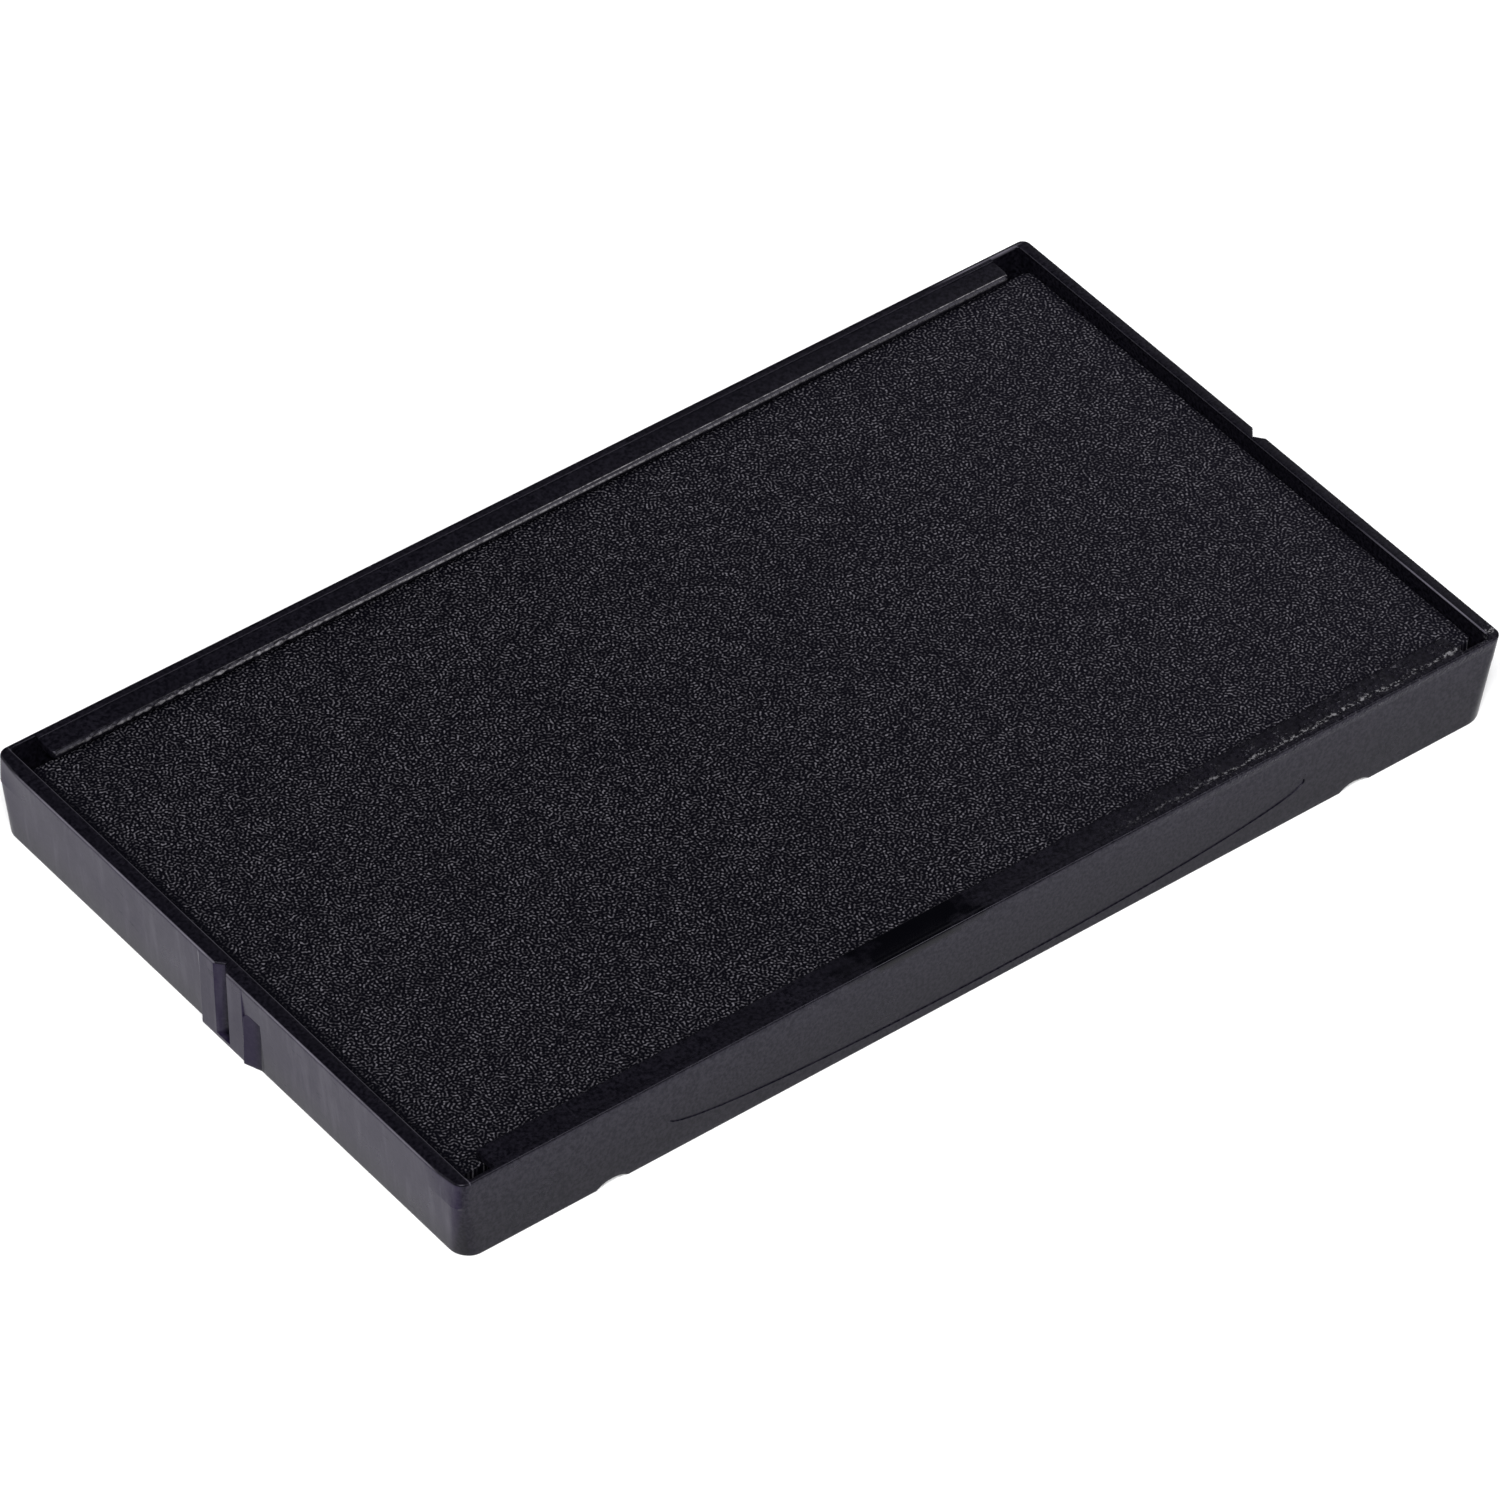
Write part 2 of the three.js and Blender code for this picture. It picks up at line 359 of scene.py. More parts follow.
def wall_rows(st):
    """(height, below the parting line, inside the oval) of each row of the outer wall, from foot to rim."""
    low = FOOT_EDGE_RADIUS
    high = HEIGHT - RIM_EDGE_RADIUS
    line = parting_height(st)
    lower, upper, gap = 29, 13, 0.012
    ledge = [low, GROOVE_FOOT - 0.005, GROOVE_FOOT + 0.005]
    end_rows = [z + 0 * line for z in ledge]
    end_rows += [ledge[-1] + (line - gap - ledge[-1]) * t for t in np.linspace(0, 1, lower - 2)[1:]]
    end_rows += [line + gap + (high - line - gap) * t for t in np.linspace(0, 1, upper)]
    below = [1.0] * lower + [0.0] * upper

    x = np.abs(st.along)
    least = 0.06
    inside_h = OVAL_HALF_HEIGHT * np.sqrt(np.maximum(0.0, 1 - (x / OVAL_HALF_LENGTH) ** 2))
    outside_h = least + (OVAL_HALF_HEIGHT - least) * smooth(ramp(x, OVAL_HALF_LENGTH, OVAL_HALF_LENGTH + 7))
    reach = np.where(x < OVAL_HALF_LENGTH, np.maximum(inside_h, least), outside_h)
    bottom, top = OVAL_HEIGHT - reach, OVAL_HEIGHT + reach
    first, middle = 7, 26
    last = lower + upper - first - middle
    long_rows = [low + (bottom - gap - low) * t for t in np.linspace(0, 1, first)]
    long_rows += [bottom + gap + (top - bottom - 2 * gap) * t for t in np.linspace(0, 1, middle)]
    long_rows += [top + gap + (high - top - gap) * t for t in np.linspace(0, 1, last)]
    in_oval = [0.0] * first + [1.0] * middle + [0.0] * last

    mix = np.where(st.on_long, 1 - smooth(ramp(x, 27.0, HALF_X - CORNER)), 0.0)
    has_oval = np.where(st.on_long & (x < OVAL_HALF_LENGTH), 1.0, 0.0)
    round_corner = np.where(st.in_corner, smooth(ramp(np.abs(np.cos(st.turn)), 0.3, 0.9)), 0.0)
    has_step = np.where(st.on_end, 1.0, round_corner)
    return [
        (a + (b - a) * mix, s * has_step, o * has_oval)
        for a, b, s, o in zip(end_rows, long_rows, below, in_oval)
    ]


def outer_point(st, z, below, in_oval, offset=0.0):
    """Points of the outer surface at height z, moved in by offset."""
    inward = st.inward()
    corner_draft = END_DRAFT * (1 - z / HEIGHT)
    near_corner = smooth(ramp(np.abs(st.along), CORNER_DRAFT_START, HALF_X - CORNER))
    near_end = np.where(st.on_long, near_corner, 1.0)
    drafted = np.where(st.on_end, 0.0, corner_draft * near_end)
    sign_x = np.where(st.on_long, np.sign(st.along), st.sign_x)
    step = np.where(st.on_end, 0.0, PARTING_STEP * below)
    depth = np.where(st.on_end, end_depth(st, z, below), step + OVAL_DEPTH * in_oval) + offset
    place = st.outline(HALF_X, HALF_Y, corner_radius(sign_x, z)) + inward * depth[:, None]
    place[:, 0] -= sign_x * (drafted + easing(sign_x, place[:, 1], z) * near_end)
    lifted = z + arch_rise(st) * np.clip(1 - z / ARCH_BLEND_HEIGHT, 0.0, 1.0)
    return np.column_stack([place, lifted])


def flat_ring(plan, z):
    return np.column_stack([plan, np.broadcast_to(z, (len(plan),))])


def quarter(steps):
    """Angles of a quarter turn, ends left out."""
    return np.linspace(0, math.pi / 2, steps + 2)[1:-1]


# ---------------------------------------------------------------- the tray
def lip_roughness(st):
    """Dried ink beads along the inner edge of the back lip, near the -X end."""
    where = (st.side == "back") & (st.lip > 0)
    fade = smooth(ramp(st.along, -29.6, -28.5)) * (1 - smooth(ramp(st.along, -17.0, -8.0)))
    beads = 0.035 * np.sin(st.along * 2 * math.pi / 0.62 + 1.3 * np.sin(st.along * 1.7))
    loose = 0.02 * np.sin(st.along * 5.3 + 2.0)
    return np.where(where, (beads + loose) * fade, 0.0)


def make_tray():
    st = Stations()
    cavity_x = (LEFT_WALL - RIGHT_WALL) / 2
    half_cavity = HALF_X - (LEFT_WALL + RIGHT_WALL) / 2
    side_wall = np.where(st.on_long & (st.lip > 0), SIDE_WALL, THIN_WALL)
    inner = st.outline(half_cavity, HALF_Y - side_wall, CAVITY_CORNER, cavity_x)
    foot_x = HALF_X - END_DRAFT - FOOT_WIDTH
    foot = st.outline(foot_x, HALF_Y - FOOT_WIDTH, CAVITY_CORNER)
    inward = st.inward()
    arch = arch_rise(st)
    zero = np.zeros(st.count)
    one = np.ones(st.count)

    rings = [
        flat_ring(foot + inward * 0.12, FOOT_HEIGHT),
        flat_ring(foot + inward * 0.03, FOOT_HEIGHT - 0.02),
        flat_ring(foot, np.maximum(FOOT_HEIGHT - 0.1, arch)),
        flat_ring(foot, np.maximum(0.1, arch)),
        flat_ring(foot - inward * 0.1, arch),
    ]
    rows = wall_rows(st)
    end_below, end_oval = rows[0][1], rows[0][2]
    radius = FOOT_EDGE_RADIUS
    rings.append(outer_point(st, zero, end_below, end_oval, radius))
    for angle in quarter(4):
        z = zero + radius * (1 - math.sin(math.pi / 2 - angle))
        rings.append(outer_point(st, z, end_below, end_oval, radius * (1 - math.sin(angle))))
    for z, below, in_oval in rows:
        rings.append(outer_point(st, z, below, in_oval))
    radius = RIM_EDGE_RADIUS
    for angle in list(quarter(3)) + [math.pi / 2]:
        z = one * (HEIGHT - radius + radius * math.sin(angle))
        rings.append(outer_point(st, z, zero, zero, radius * (1 - math.cos(angle))))

    radius = np.where(st.on_end | st.in_corner, INNER_EDGE_RADIUS, LIP_DROP)
    for angle in [0.0] + list(quarter(4)) + [math.pi / 2]:
        back = radius * (1 - math.sin(angle))
        rings.append(flat_ring(inner - inward * back[:, None], HEIGHT - radius * (1 - math.cos(angle))))
    width = st.lip + lip_roughness(st)
    lip_top = HEIGHT - LIP_DROP
    lip_foot = lip_top - LIP_THICKNESS
    edge_reach = LIP_EDGE_PROFILE[-1][0]
    for across, drop in LIP_EDGE_PROFILE:
        reach = width - np.minimum(edge_reach - across, width)
        rings.append(flat_ring(inner + inward * reach[:, None], lip_top - drop))
    under = np.minimum(0.06, width)
    rings.append(flat_ring(inner + inward * width[:, None], lip_foot + 0.06))
    rings.append(flat_ring(inner + inward * (width - under * 0.3)[:, None], lip_foot + 0.018))
    rings.append(flat_ring(inner + inward * (width - under)[:, None], lip_foot))
    rings.append(flat_ring(inner, lip_foot))
    rings.append(flat_ring(inner, FLOOR + 0.3))
    rings.append(flat_ring(inner + inward * 0.09, FLOOR + 0.09))
    rings.append(flat_ring(inner + inward * 0.3, FLOOR))

    count = st.count
    faces = ring_faces(len(rings), count)
    faces += ladder_faces(0, count)
    faces += ladder_faces((len(rings) - 1) * count, count)
    return make_object("moulded_tray", np.concatenate(rings), faces)


# ---------------------------------------------------------------- soft parts
def rounded_loop(half_x, half_y, radius, step=0.5):
    """Points round a rounded rectangle, the same on both sides of the X axis, from its -X end."""
    quarter_turn = np.linspace(math.pi, 1.5 * math.pi, 9)
    points = [(-half_x, -y) for y in spaced(0, half_y - radius, step)[:-1]]
    for a in quarter_turn:
        points.append((radius - half_x + radius * math.cos(a), radius - half_y + radius * math.sin(a)))
    points += [(x, -half_y) for x in spaced(radius - half_x, 0, step)[1:]]
    front_left = np.array(points)
    front_right = front_left[::-1][1:] * (-1, 1)
    back = np.concatenate([front_left, front_right])[::-1][1:-1] * (1, -1)
    return np.concatenate([front_left, front_right, back])


def make_reservoir():
    half = (RESERVOIR_HIGH - RESERVOIR_LOW) / 2
    middle = (RESERVOIR_HIGH + RESERVOIR_LOW) / 2
    low, high = RESERVOIR_LOW[2], RESERVOIR_HIGH[2]
    rings = []
    heights = [low] + list(np.linspace(low + FELT_EDGE, high - FELT_EDGE, 7)) + [high]
    for row, z in enumerate(heights):
        at_face = z in (low, high)
        inset = FELT_EDGE if at_face else FELT_INSET
        loop = rounded_loop(half[0] - inset, half[1] - inset, FELT_CORNER - inset * 0.5)
        points = np.column_stack([loop + middle[:2], np.full(len(loop), z)])
        if not at_face:
            fuzz = FELT_FUZZ * np.abs(wave(points, 1.1, 3.0 + row))
            centre = np.array([middle[0], middle[1], z])
            away = points - centre
            points = points - away / np.linalg.norm(away, axis=1)[:, None] * fuzz[:, None]
        rings.append(points)
    count = len(rings[0])
    faces = ring_faces(len(rings), count)
    faces += ladder_faces(0, count)
    faces += ladder_faces((len(rings) - 1) * count, count)
    return make_object("felt_reservoir", np.concatenate(rings), faces, sharp_degrees=60)


def cover_height(x, y, half):
    """How far the cover is below its highest level: it dips a little at its edges, and waves."""
    edge = np.minimum(half[0] - np.abs(x), half[1] - np.abs(y))
    dip = 0.01 * np.exp(-np.maximum(edge, 0) / 0.5)
    points = np.column_stack([x, y, np.zeros(len(x))])
    broad = 0.025 * (0.5 + 0.5 * wave(points, 0.09, 1.0, 2))
    fine = 0.018 * (0.5 + 0.5 * wave(points, 1.6, 2.0, 2))
    return dip + broad + fine


def past_corner_centre(x, y, half):
    """How far points are past the centres of the cover's round corners, along X and along Y."""
    over_x = np.maximum(0.0, np.abs(x) - (half[0] - COVER_CORNER))
    over_y = np.maximum(0.0, np.abs(y) - (half[1] - COVER_CORNER))
    return over_x, over_y


def round_corners(x, y, half):
    """Pulls the corners of a rectangular grid in onto round corners."""
    over_x, over_y = past_corner_centre(x, y, half)
    length = np.hypot(over_x, over_y)
    square = np.maximum(over_x, over_y)
    pull = np.where(length > 0, square / np.maximum(length, 1e-9), 1.0)
    x = np.sign(x) * (np.abs(x) - over_x + over_x * pull)
    y = np.sign(y) * (np.abs(y) - over_y + over_y * pull)
    return x, y


def make_cover():
    half = ((COVER_HIGH - COVER_LOW) / 2)[:2]
    middle = ((COVER_HIGH + COVER_LOW) / 2)[:2]
    low, high = COVER_LOW[2], COVER_HIGH[2]
    xs = spaced(-half[0], half[0], COVER_STEP)
    ys = spaced(-half[1], half[1], COVER_STEP)
    grid_x, grid_y = np.meshgrid(xs, ys)
    x, y = round_corners(grid_x.ravel(), grid_y.ravel(), half)
    distance = COVER_CORNER - np.hypot(*past_corner_centre(x, y, half))
    near = np.clip(1 - distance / COVER_EDGE_RADIUS, 0.0, 1.0)
    roll = COVER_EDGE_RADIUS * (1 - np.sqrt(np.maximum(0.0, 1 - near ** 2)))
    top = high - cover_height(x, y, half) - roll
    plan = np.column_stack([x, y]) + middle
    bottom = np.full(len(x), low)
    across, up = len(xs), len(ys)
    vertices = np.concatenate([np.column_stack([plan, top]), np.column_stack([plan, bottom])])
    faces = []
    below = across * up
    for j in range(up - 1):
        for i in range(across - 1):
            a = j * across + i
            b, c, d = a + 1, a + across + 1, a + across
            faces.append((a, b, c, d))
            faces.append((below + a, below + d, below + c, below + b))
    rim = list(range(across))
    rim += [j * across + across - 1 for j in range(1, up)]
    rim += [(up - 1) * across + i for i in range(across - 2, -1, -1)]
    rim += [j * across for j in range(up - 2, 0, -1)]
    for k, a in enumerate(rim):
        b = rim[(k + 1) % len(rim)]
        faces.append((b, a, below + a, below + b))
    return make_object("inked_cover", vertices, faces, sharp_degrees=70)


# ---------------------------------------------------------------- materials
class Nodes:
    """Short names for building one material's node tree."""

    def __init__(self, name):
        self.material = bpy.data.materials.new(name)
        self.material.use_nodes = True
        self.tree = self.material.node_tree
        self.shader = self.tree.nodes["Principled BSDF"]
        self.place = self.new("ShaderNodeTexCoord").outputs["Object"]

    def new(self, kind, **values):
        node = self.tree.nodes.new(kind)
        for key, value in values.items():
            setattr(node, key, value)
        return node

    def link(self, source, target):
        self.tree.links.new(source, target)

    def set(self, socket, value):
        self.shader.inputs[socket].default_value = value

    def scaled(self, factors):
        node = self.new("ShaderNodeMapping")
        node.inputs["Scale"].default_value = factors
        self.link(self.place, node.inputs["Vector"])
        return node.outputs["Vector"]

    def parts(self):
        """The X, Y and Z of a point, in metres."""
        node = self.new("ShaderNodeSeparateXYZ")
        self.link(self.place, node.inputs["Vector"])
        return node.outputs["X"], node.outputs["Y"], node.outputs["Z"]

    def noise(self, scale, detail=2.0, roughness=0.5, distortion=0.0, vector=None):
        node = self.new("ShaderNodeTexNoise")
        node.inputs["Scale"].default_value = scale
        node.inputs["Detail"].default_value = detail
        node.inputs["Roughness"].default_value = roughness
        node.inputs["Distortion"].default_value = distortion
        self.link(vector or self.place, node.inputs["Vector"])
        return node.outputs["Fac"]

    def gabor(self, scale, frequency):
        """Short ridges in every direction of the XY plane, about 1 / (scale * frequency) metres apart."""
        node = self.new("ShaderNodeTexGabor", gabor_type="2D")
        node.inputs["Scale"].default_value = scale
        node.inputs["Frequency"].default_value = frequency
        node.inputs["Anisotropy"].default_value = 0.0
        self.link(self.place, node.inputs["Vector"])
        return node.outputs["Value"]

    def band(self, value, low, high, to_low=0.0, to_high=1.0):
        node = self.new("ShaderNodeMapRange", clamp=True)
        node.inputs["From Min"].default_value = low
        node.inputs["From Max"].default_value = high
        node.inputs["To Min"].default_value = to_low
        node.inputs["To Max"].default_value = to_high
        self.link(value, node.inputs["Value"])
        return node.outputs["Result"]

    def fade(self, value, span_mm, least=0.0, most=1.0):
        """Least where value is at the first place of span_mm, and most at the second."""
        return self.band(value, span_mm[0] * MM, span_mm[1] * MM, least, most)

    def product(self, *masks):
        result = masks[0]
        for mask in masks[1:]:
            result = self.math("MULTIPLY", result, mask)
        return result

    def largest(self, *masks):
        result = masks[0]
        for mask in masks[1:]:
            result = self.math("MAXIMUM", result, mask)
        return result

    def math(self, operation, a, b=None):
        node = self.new("ShaderNodeMath", operation=operation)
        for socket, value in zip(node.inputs, (a, b)):
            if value is None:
                continue
            if isinstance(value, (int, float)):
                socket.default_value = value
            else:
                self.link(value, socket)
        return node.outputs["Value"]

    def mix(self, factor, low, high):
        node = self.new("ShaderNodeMix", data_type="RGBA")
        self.link(factor, node.inputs["Factor"])
        for socket, value in ((node.inputs["A"], low), (node.inputs["B"], high)):
            if isinstance(value, tuple):
                socket.default_value = (*value, 1.0)
            else:
                self.link(value, socket)
        return node.outputs["Result"]

    def bump(self, height, strength, distance, normal=None):
        node = self.new("ShaderNodeBump")
        node.inputs["Strength"].default_value = strength
        node.inputs["Distance"].default_value = distance
        self.link(height, node.inputs["Height"])
        if normal is not None:
            self.link(normal, node.inputs["Normal"])
        return node.outputs["Normal"]


# Where marks begin and where they are full, in millimetres.
FRONT_LIP_Z = (4.6, 4.9)
FRONT_LIP_Y = (-16.4, -17.2)
CRUST_GLINTS_X = (6.0, 16.0)
CRUST_GLINTS_Y = (-17.2, -18.4)
SMUDGE_X = -4.5
SMUDGE_REACH = (4.2, 2.6)
BEAD_GLINTS_Y = -18.72
BEAD_GLINTS_REACH = (0.20, 0.10)
BEAD_GLINTS_X = (8.0, 18.0)
BEAD_GLINTS_Z = (4.8, 5.0)
BACK_LIP_X = (30.56, 30.50)
BACK_LIP_Z = (4.90, 4.96)
UPPER_LINE_Y = ((17.64, 17.61), (17.56, 17.59))
UPPER_LINE_X = (-26.0, -4.0)
LOWER_LINE_Y = ((17.49, 17.46), (16.5, 16.8))
LOWER_LINE_X = ((-30.0, -22.0), (22.0, 4.0))
# Where the painted edge highlights lie.
TOP_Z = (5.0, 5.1)
OUTER_LEFT_X = (-32.90, -32.94)
OUTER_LEFT_Z = (5.09, 5.13)
INNER_LEFT_X = ((-32.17, -32.14), (-32.08, -32.11))
PANEL_CORNER_X = (-32.2, -32.4)
PANEL_CORNER_Z = (5.0, 4.8)
PANEL_CORNER_Y = 1.8
PANEL_CORNER_REACH = (0.07, 0.04)
INNER_RIGHT_X = ((32.31, 32.34), (32.40, 32.37))
INNER_RIGHT_Y = ((-8.0, -13.0), (-18.8, -18.6))
BACK_RIM_Y = ((18.99, 19.02), (19.14, 19.10))
BACK_RIM_X = ((26.5, 29.0), (32.8, 32.0))
RAGGED_EDGE = 0.006


def front_lip_masks(n, x, y, z):
    """On the front lip: where dried ink is thick, where ink is wet, and where it dried in beads. The crust
    and the beads also carry painted glints: pale specks on their lumps.
    """
    ragged = n.math("MULTIPLY", n.math("SUBTRACT", n.noise(900, 2.0), 0.5), RAGGED_EDGE)
    on_lip = n.product(n.fade(z, FRONT_LIP_Z), n.fade(y, FRONT_LIP_Y))
    crust_glints_x = n.fade(n.math("ADD", x, ragged), CRUST_GLINTS_X)
    crust_glints_y = n.fade(n.math("ADD", y, ragged), CRUST_GLINTS_Y)
    # The crust: dried ink lumps, whose pale specks in the colour are painted glints.
    crust_and_glints = n.product(on_lip, crust_glints_x, crust_glints_y)
    from_middle = n.math("ABSOLUTE", n.math("SUBTRACT", x, SMUDGE_X * MM))
    wet = n.product(on_lip, n.fade(n.math("ADD", from_middle, ragged), SMUDGE_REACH))
    slightly_ragged = n.math("MULTIPLY", ragged, 0.08)
    from_bead_glints = n.math("ADD", n.math("SUBTRACT", y, BEAD_GLINTS_Y * MM), slightly_ragged)
    from_bead_glints = n.math("ABSOLUTE", from_bead_glints)
    # The beads: dried ink lumps, whose pale specks in the colour are painted glints.
    beads = n.product(n.fade(from_bead_glints, BEAD_GLINTS_REACH), n.fade(x, BEAD_GLINTS_X), n.fade(z, BEAD_GLINTS_Z))
    return crust_and_glints, wet, beads


def back_lip_ink_and_highlight_mask(n, x, y, z):
    """Two pale lines along the inner edge of the back lip: painted highlights on the edge, broken up by
    dried ink grain.
    """
    on_lip = n.product(n.fade(n.math("ABSOLUTE", x), BACK_LIP_X), n.fade(z, BACK_LIP_Z))
    upper = n.product(
        n.fade(y, UPPER_LINE_Y[0]),
        n.fade(y, UPPER_LINE_Y[1]),
        n.fade(x, UPPER_LINE_X, 0.05, 1.0),
    )
    lower = n.product(
        n.fade(y, LOWER_LINE_Y[0]),
        n.fade(y, LOWER_LINE_Y[1]),
        n.fade(x, LOWER_LINE_X[0], 0.2, 0.8),
        n.fade(x, LOWER_LINE_X[1], 0.25, 1.0),
    )
    return n.product(on_lip, n.largest(upper, lower))


def edge_highlight_mask(n, x, y, z):
    """Painted highlights along sharp edges of the rim and at the top of the -X end panel's edge."""
    at_top = n.fade(z, TOP_Z)
    outer_left = n.product(n.fade(x, OUTER_LEFT_X), n.fade(z, OUTER_LEFT_Z))
    inner_left = n.product(n.fade(x, INNER_LEFT_X[0]), n.fade(x, INNER_LEFT_X[1], 0.0, 0.5), at_top)
    from_panel = n.math("ABSOLUTE", n.math("SUBTRACT", y, PANEL_CORNER_Y * MM))
    panel_corner = n.product(
        n.fade(x, PANEL_CORNER_X),
        n.fade(z, PANEL_CORNER_Z),
        n.fade(from_panel, PANEL_CORNER_REACH),
    )
    inner_right = n.product(n.fade(x, INNER_RIGHT_X[0]), n.fade(x, INNER_RIGHT_X[1]), at_top)
    inner_right = n.product(inner_right, n.fade(y, INNER_RIGHT_Y[0]), n.fade(y, INNER_RIGHT_Y[1]))
    back_rim = n.product(n.fade(y, BACK_RIM_Y[0]), n.fade(y, BACK_RIM_Y[1]), at_top)
    back_rim = n.product(back_rim, n.fade(x, BACK_RIM_X[0]), n.fade(x, BACK_RIM_X[1]))
    return n.largest(outer_left, inner_left, panel_corner, inner_right, back_rim)


def wall_masks(n, x, y, z):
    """The outer walls, how high up them a point is (for their painted shade towards the foot), their drag
    marks, and the end walls' flat parts.
    """
    from_middle = n.math("ABSOLUTE", x)
    on_side = n.fade(n.math("ABSOLUTE", y), (19.08, 19.15))
    outside = n.largest(n.fade(from_middle, (32.35, 32.45)), on_side)
    outside = n.product(outside, n.fade(z, (5.12, 5.06)))
    left_end = n.fade(x, (-32.50, -32.72))
    right_end = n.fade(x, (32.50, 32.72), 0.0, 0.35)
    flat_end = n.largest(left_end, right_end)
    streaks = n.noise(1500, 3.0, 0.65, vector=n.scaled((1.0, 1.0, 0.10)))
    drag = n.product(flat_end, n.band(streaks, 0.50, 0.70))
    return outside, n.fade(z, (1.2, 5.0)), drag, flat_end


def scratch_mask(n):
    """Fine scratches, one set along Y and one along X."""
    along_x = n.noise(700, 3.0, 0.6, vector=n.scaled((0.12, 1.0, 3.0)))
    along_y = n.noise(900, 3.0, 0.6, vector=n.scaled((1.6, 0.15, 2.0)))
    return n.largest(n.band(along_x, 0.66, 0.74), n.band(along_y, 0.68, 0.76))


def grained(n, grain, dark, light):
    return n.mix(n.band(grain, 0.36, 0.64), dark, light)


def tray_material():
    n = Nodes("black_moulded_plastic")
    x, y, z = n.parts()
    crust_and_glints, wet, beads = front_lip_masks(n, x, y, z)
    back_edge_ink_and_highlight = back_lip_ink_and_highlight_mask(n, x, y, z)
    rim_edge_highlights = edge_highlight_mask(n, x, y, z)
    wall, height, drag, on_end = wall_masks(n, x, y, z)
    scratches = scratch_mask(n)
    cloud = n.noise(260, 4.0, 0.55)
    grain = n.noise(5200, 2.0, 0.6)
    lumps = n.noise(5600, 2.0, 0.6)

    # Bare plastic, clouded, with paler, more grained outer walls, which painted shade darkens towards the
    # foot.
    colour = grained(n, grain, (0.0006, 0.0005, 0.0014), (0.0062, 0.0056, 0.0086))
    colour = n.mix(n.band(cloud, 0.35, 0.75, 0.0, 0.5), colour, (0.0012, 0.0010, 0.0020))
    # Painted shade: the outer walls' colour darkens from 5 mm high down to 1.2 mm, towards the foot.
    shaded_foot_wall = grained(n, grain, (0.0002, 0.0002, 0.0022), (0.0080, 0.0071, 0.0108))
    high_wall = grained(n, grain, (0.0020, 0.0015, 0.0055), (0.0140, 0.0127, 0.0190))
    wall_colour = n.mix(height, shaded_foot_wall, high_wall)
    wall_colour = n.mix(n.product(on_end, 0.5), wall_colour, (0.012, 0.0065, 0.028))
    wall_colour = n.mix(n.product(drag, 0.5), wall_colour, (0.044, 0.040, 0.056))
    colour = n.mix(wall, colour, wall_colour)
    colour = n.mix(n.product(scratches, 0.3), colour, (0.012, 0.011, 0.016))

    # Ink, dried and wet, with painted glints and a painted highlight on the back lip, and then painted
    # highlights on the sharp edges.
    # Painted glints: pale specks on the lumps of the dried ink crust.
    colour = n.mix(n.product(n.band(lumps, 0.62, 0.72), crust_and_glints), colour, (0.050, 0.048, 0.056))
    # Painted glints: pale specks on the dried ink beads.
    colour = n.mix(n.product(n.band(lumps, 0.50, 0.62), beads), colour, (0.13, 0.127, 0.135))
    colour = n.mix(wet, colour, (0.0003, 0.0003, 0.0008))
    # Painted highlight along the back lip's inner edge, broken up by dried ink grain.
    ink_and_highlight_line = n.product(back_edge_ink_and_highlight, n.band(lumps, 0.40, 0.62, 0.25, 1.0))
    colour = n.mix(ink_and_highlight_line, colour, (0.19, 0.183, 0.192))
    # Painted highlights on the sharp edges of the rim and the end panel.
    painted_edge_highlight = n.product(rim_edge_highlights, n.band(cloud, 0.35, 0.60, 0.45, 1.0))
    colour = n.mix(painted_edge_highlight, colour, (0.085, 0.080, 0.098))
    n.link(colour, n.shader.inputs["Base Color"])

    rough = n.math("ADD", n.band(cloud, 0.3, 0.75, 0.25, 0.37), n.product(scratches, 0.12))
    rough = n.math("SUBTRACT", rough, n.product(wet, 0.17))
    n.link(rough, n.shader.inputs["Roughness"])
    n.set("IOR", 1.34)
    n.set("Specular IOR Level", 0.24)
    n.set("Specular Tint", (0.86, 0.83, 1.0, 1.0))
    relief = n.bump(grain, 0.12, 0.00002)
    relief = n.bump(n.product(lumps, n.largest(crust_and_glints, beads)), 0.6, 0.00007, relief)
    n.link(n.bump(scratches, 0.10, 0.00002, relief), n.shader.inputs["Normal"])
    return n.material


# Painted light: the cloth's gaps are painted lighter from here towards +X, in millimetres.
CLOTH_GAP_LIGHT_X = (-6.0, 33.0)
# Painted shadow of the -X end wall: the cloth's crests are dimmed from here to that wall, in millimetres.
CLOTH_WALL_SHADOW_X = (-31.4, -31.1)


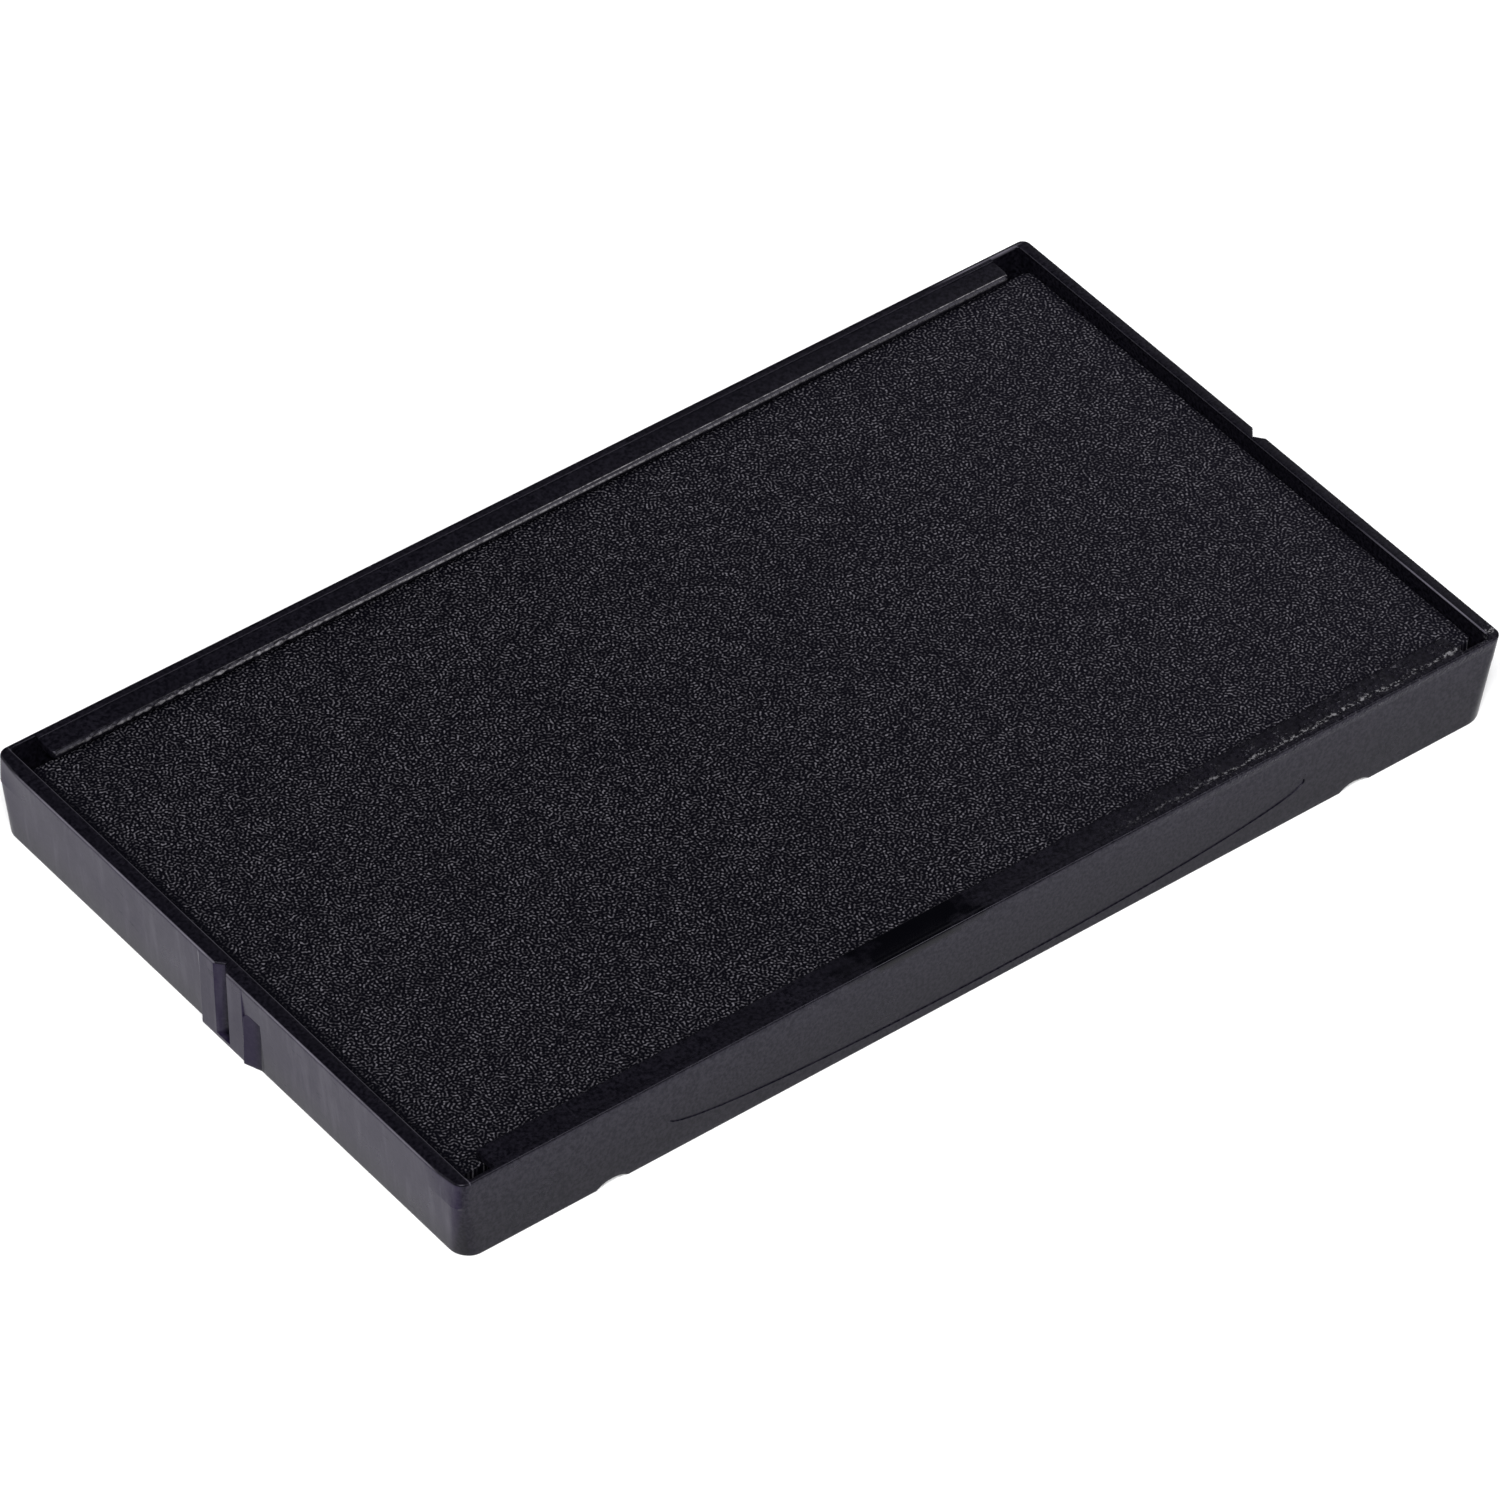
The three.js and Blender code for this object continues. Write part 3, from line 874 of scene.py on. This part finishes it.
def cover_material():
    n = Nodes("inked_cloth")
    x = n.parts()[0]
    worms = n.gabor(3150, 1.5)
    sparkle = n.noise(2600, 1.0, 0.5)
    patch = n.noise(220, 3.0, 0.5)
    # Painted highlights: the weave's pale crests, brighter where the sparkle noise is high, stand in for
    # light on its ridges.
    crest_highlight = n.math("POWER", n.band(worms, 0.50, 0.80), 1.3)
    crest_highlight = n.product(crest_highlight, n.band(sparkle, 0.35, 0.70, 0.5, 1.65), n.band(patch, 0.3, 0.7, 0.85, 1.1))
    # Painted shadow of the -X end wall: the crests dim near that wall.
    crest_highlight = n.product(crest_highlight, n.fade(x, CLOTH_WALL_SHADOW_X, 0.15, 1.0))
    # Painted light: the gaps grow lighter towards +X.
    gap = n.mix(n.fade(x, CLOTH_GAP_LIGHT_X), (0.0006, 0.0005, 0.0018), (0.0028, 0.0025, 0.0048))
    colour = n.mix(crest_highlight, gap, (0.097, 0.093, 0.106))
    n.link(colour, n.shader.inputs["Base Color"])
    n.link(n.band(worms, 0.3, 0.7, 0.75, 0.5), n.shader.inputs["Roughness"])
    n.set("IOR", 1.4)
    n.set("Specular IOR Level", 0.06)
    n.link(n.bump(worms, 0.5, 0.00005), n.shader.inputs["Normal"])
    return n.material


def felt_material():
    n = Nodes("soaked_felt")
    fibres = n.noise(3000, 4.0, 0.65, 0.6, n.scaled((1.0, 1.0, 0.35)))
    colour = n.mix(n.band(fibres, 0.35, 0.7), (0.0016, 0.0015, 0.0022), (0.014, 0.013, 0.018))
    n.link(colour, n.shader.inputs["Base Color"])
    n.link(n.band(fibres, 0.3, 0.7, 0.95, 0.7), n.shader.inputs["Roughness"])
    n.link(n.bump(fibres, 0.5, 0.0001), n.shader.inputs["Normal"])
    return n.material


def floor_material():
    n = Nodes("pale_floor")
    tone = n.noise(2.0, 2.0, 0.5)
    n.link(n.mix(tone, (0.88, 0.88, 0.88), (0.90, 0.90, 0.90)), n.shader.inputs["Base Color"])
    n.set("Roughness", 0.9)
    n.set("Specular IOR Level", 0.0)
    return n.material


# ---------------------------------------------------------------- stage, light and camera
FLOOR_HALF = 6.0


def make_stage():
    mesh = bpy.data.meshes.new("floor")
    corners = [(-1, -1), (1, -1), (1, 1), (-1, 1)]
    mesh.from_pydata([(x * FLOOR_HALF, y * FLOOR_HALF, 0) for x, y in corners], [], [(0, 1, 2, 3)])
    floor = bpy.data.objects.new("floor", mesh)
    bpy.context.scene.collection.objects.link(floor)
    floor.data.materials.append(floor_material())


def aim(thing, place, target):
    thing.location = place
    thing.rotation_mode = "QUATERNION"
    thing.rotation_quaternion = (Vector(target) - Vector(place)).to_track_quat("-Z", "Y")


def add_sun(name, azimuth, elevation, strength, angle):
    light = bpy.data.lights.new(name, "SUN")
    light.energy = strength
    light.angle = math.radians(angle)
    lamp = bpy.data.objects.new(name, light)
    bpy.context.scene.collection.objects.link(lamp)
    a, e = math.radians(azimuth), math.radians(elevation)
    aim(lamp, (math.sin(a) * math.cos(e), -math.cos(a) * math.cos(e), math.sin(e)), (0, 0, 0))


def add_softbox(name, azimuth, elevation, distance, size, strength):
    light = bpy.data.lights.new(name, "AREA")
    light.shape = "RECTANGLE"
    light.size, light.size_y = size
    light.energy = strength
    lamp = bpy.data.objects.new(name, light)
    bpy.context.scene.collection.objects.link(lamp)
    a, e = math.radians(azimuth), math.radians(elevation)
    place = Vector((math.sin(a) * math.cos(e), -math.cos(a) * math.cos(e), math.sin(e))) * distance
    aim(lamp, place, (0, 0, 0))


def make_light():
    world = bpy.data.worlds.new("studio")
    bpy.context.scene.world = world
    world.use_nodes = True
    back = world.node_tree.nodes["Background"]
    back.inputs["Color"].default_value = (0.080, 0.080, 0.092, 1)
    back.inputs["Strength"].default_value = 1.0
    add_sun("key", -42, 52, 4.6, 34)
    add_softbox("left_back", -130, 29, 0.8, (0.5, 0.42), 2.0)
    add_softbox("right_front", 36, 38, 0.8, (0.36, 0.26), 2.6)
    add_softbox("right_back", 120, 37, 0.39, (0.16, 0.2), 0.09)
    bpy.context.scene.view_settings.view_transform = "Standard"


CAMERA_AZIMUTH = -38.55
CAMERA_ELEVATION = 42.84
CAMERA_ROLL = 1.08
CAMERA_DISTANCE = 0.5855
CAMERA_TARGET = (-0.00268, -0.00323, 0.0052)
CAMERA_LENS = 281.8


def make_camera():
    data = bpy.data.cameras.new("camera")
    data.lens = CAMERA_LENS
    data.sensor_width = 36.0
    data.clip_start = 0.01
    data.clip_end = 50.0
    camera = bpy.data.objects.new("camera", data)
    bpy.context.scene.collection.objects.link(camera)
    a, e = math.radians(CAMERA_AZIMUTH), math.radians(CAMERA_ELEVATION)
    back = Vector((math.sin(a) * math.cos(e), -math.cos(a) * math.cos(e), math.sin(e)))
    right = Vector((math.cos(a), math.sin(a), 0.0))
    up = back.cross(right)
    turn = Matrix((right, up, back)).transposed()
    roll = Matrix.Rotation(math.radians(CAMERA_ROLL), 3, "Z")
    place = Vector(CAMERA_TARGET) + back * CAMERA_DISTANCE
    camera.matrix_world = Matrix.Translation(place) @ (turn @ roll).to_4x4()
    bpy.context.scene.camera = camera


# ---------------------------------------------------------------- the scene
def finish_piece(piece, material, node):
    piece.data.materials.append(material)
    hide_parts(node)
    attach(piece, "root")
    return piece


make_camera()
make_light()
make_stage()

tray = finish_piece(make_tray(), tray_material(), "tray")
reservoir = finish_piece(make_reservoir(), felt_material(), "ink_reservoir")
cover = finish_piece(make_cover(), cover_material(), "pad_cover")
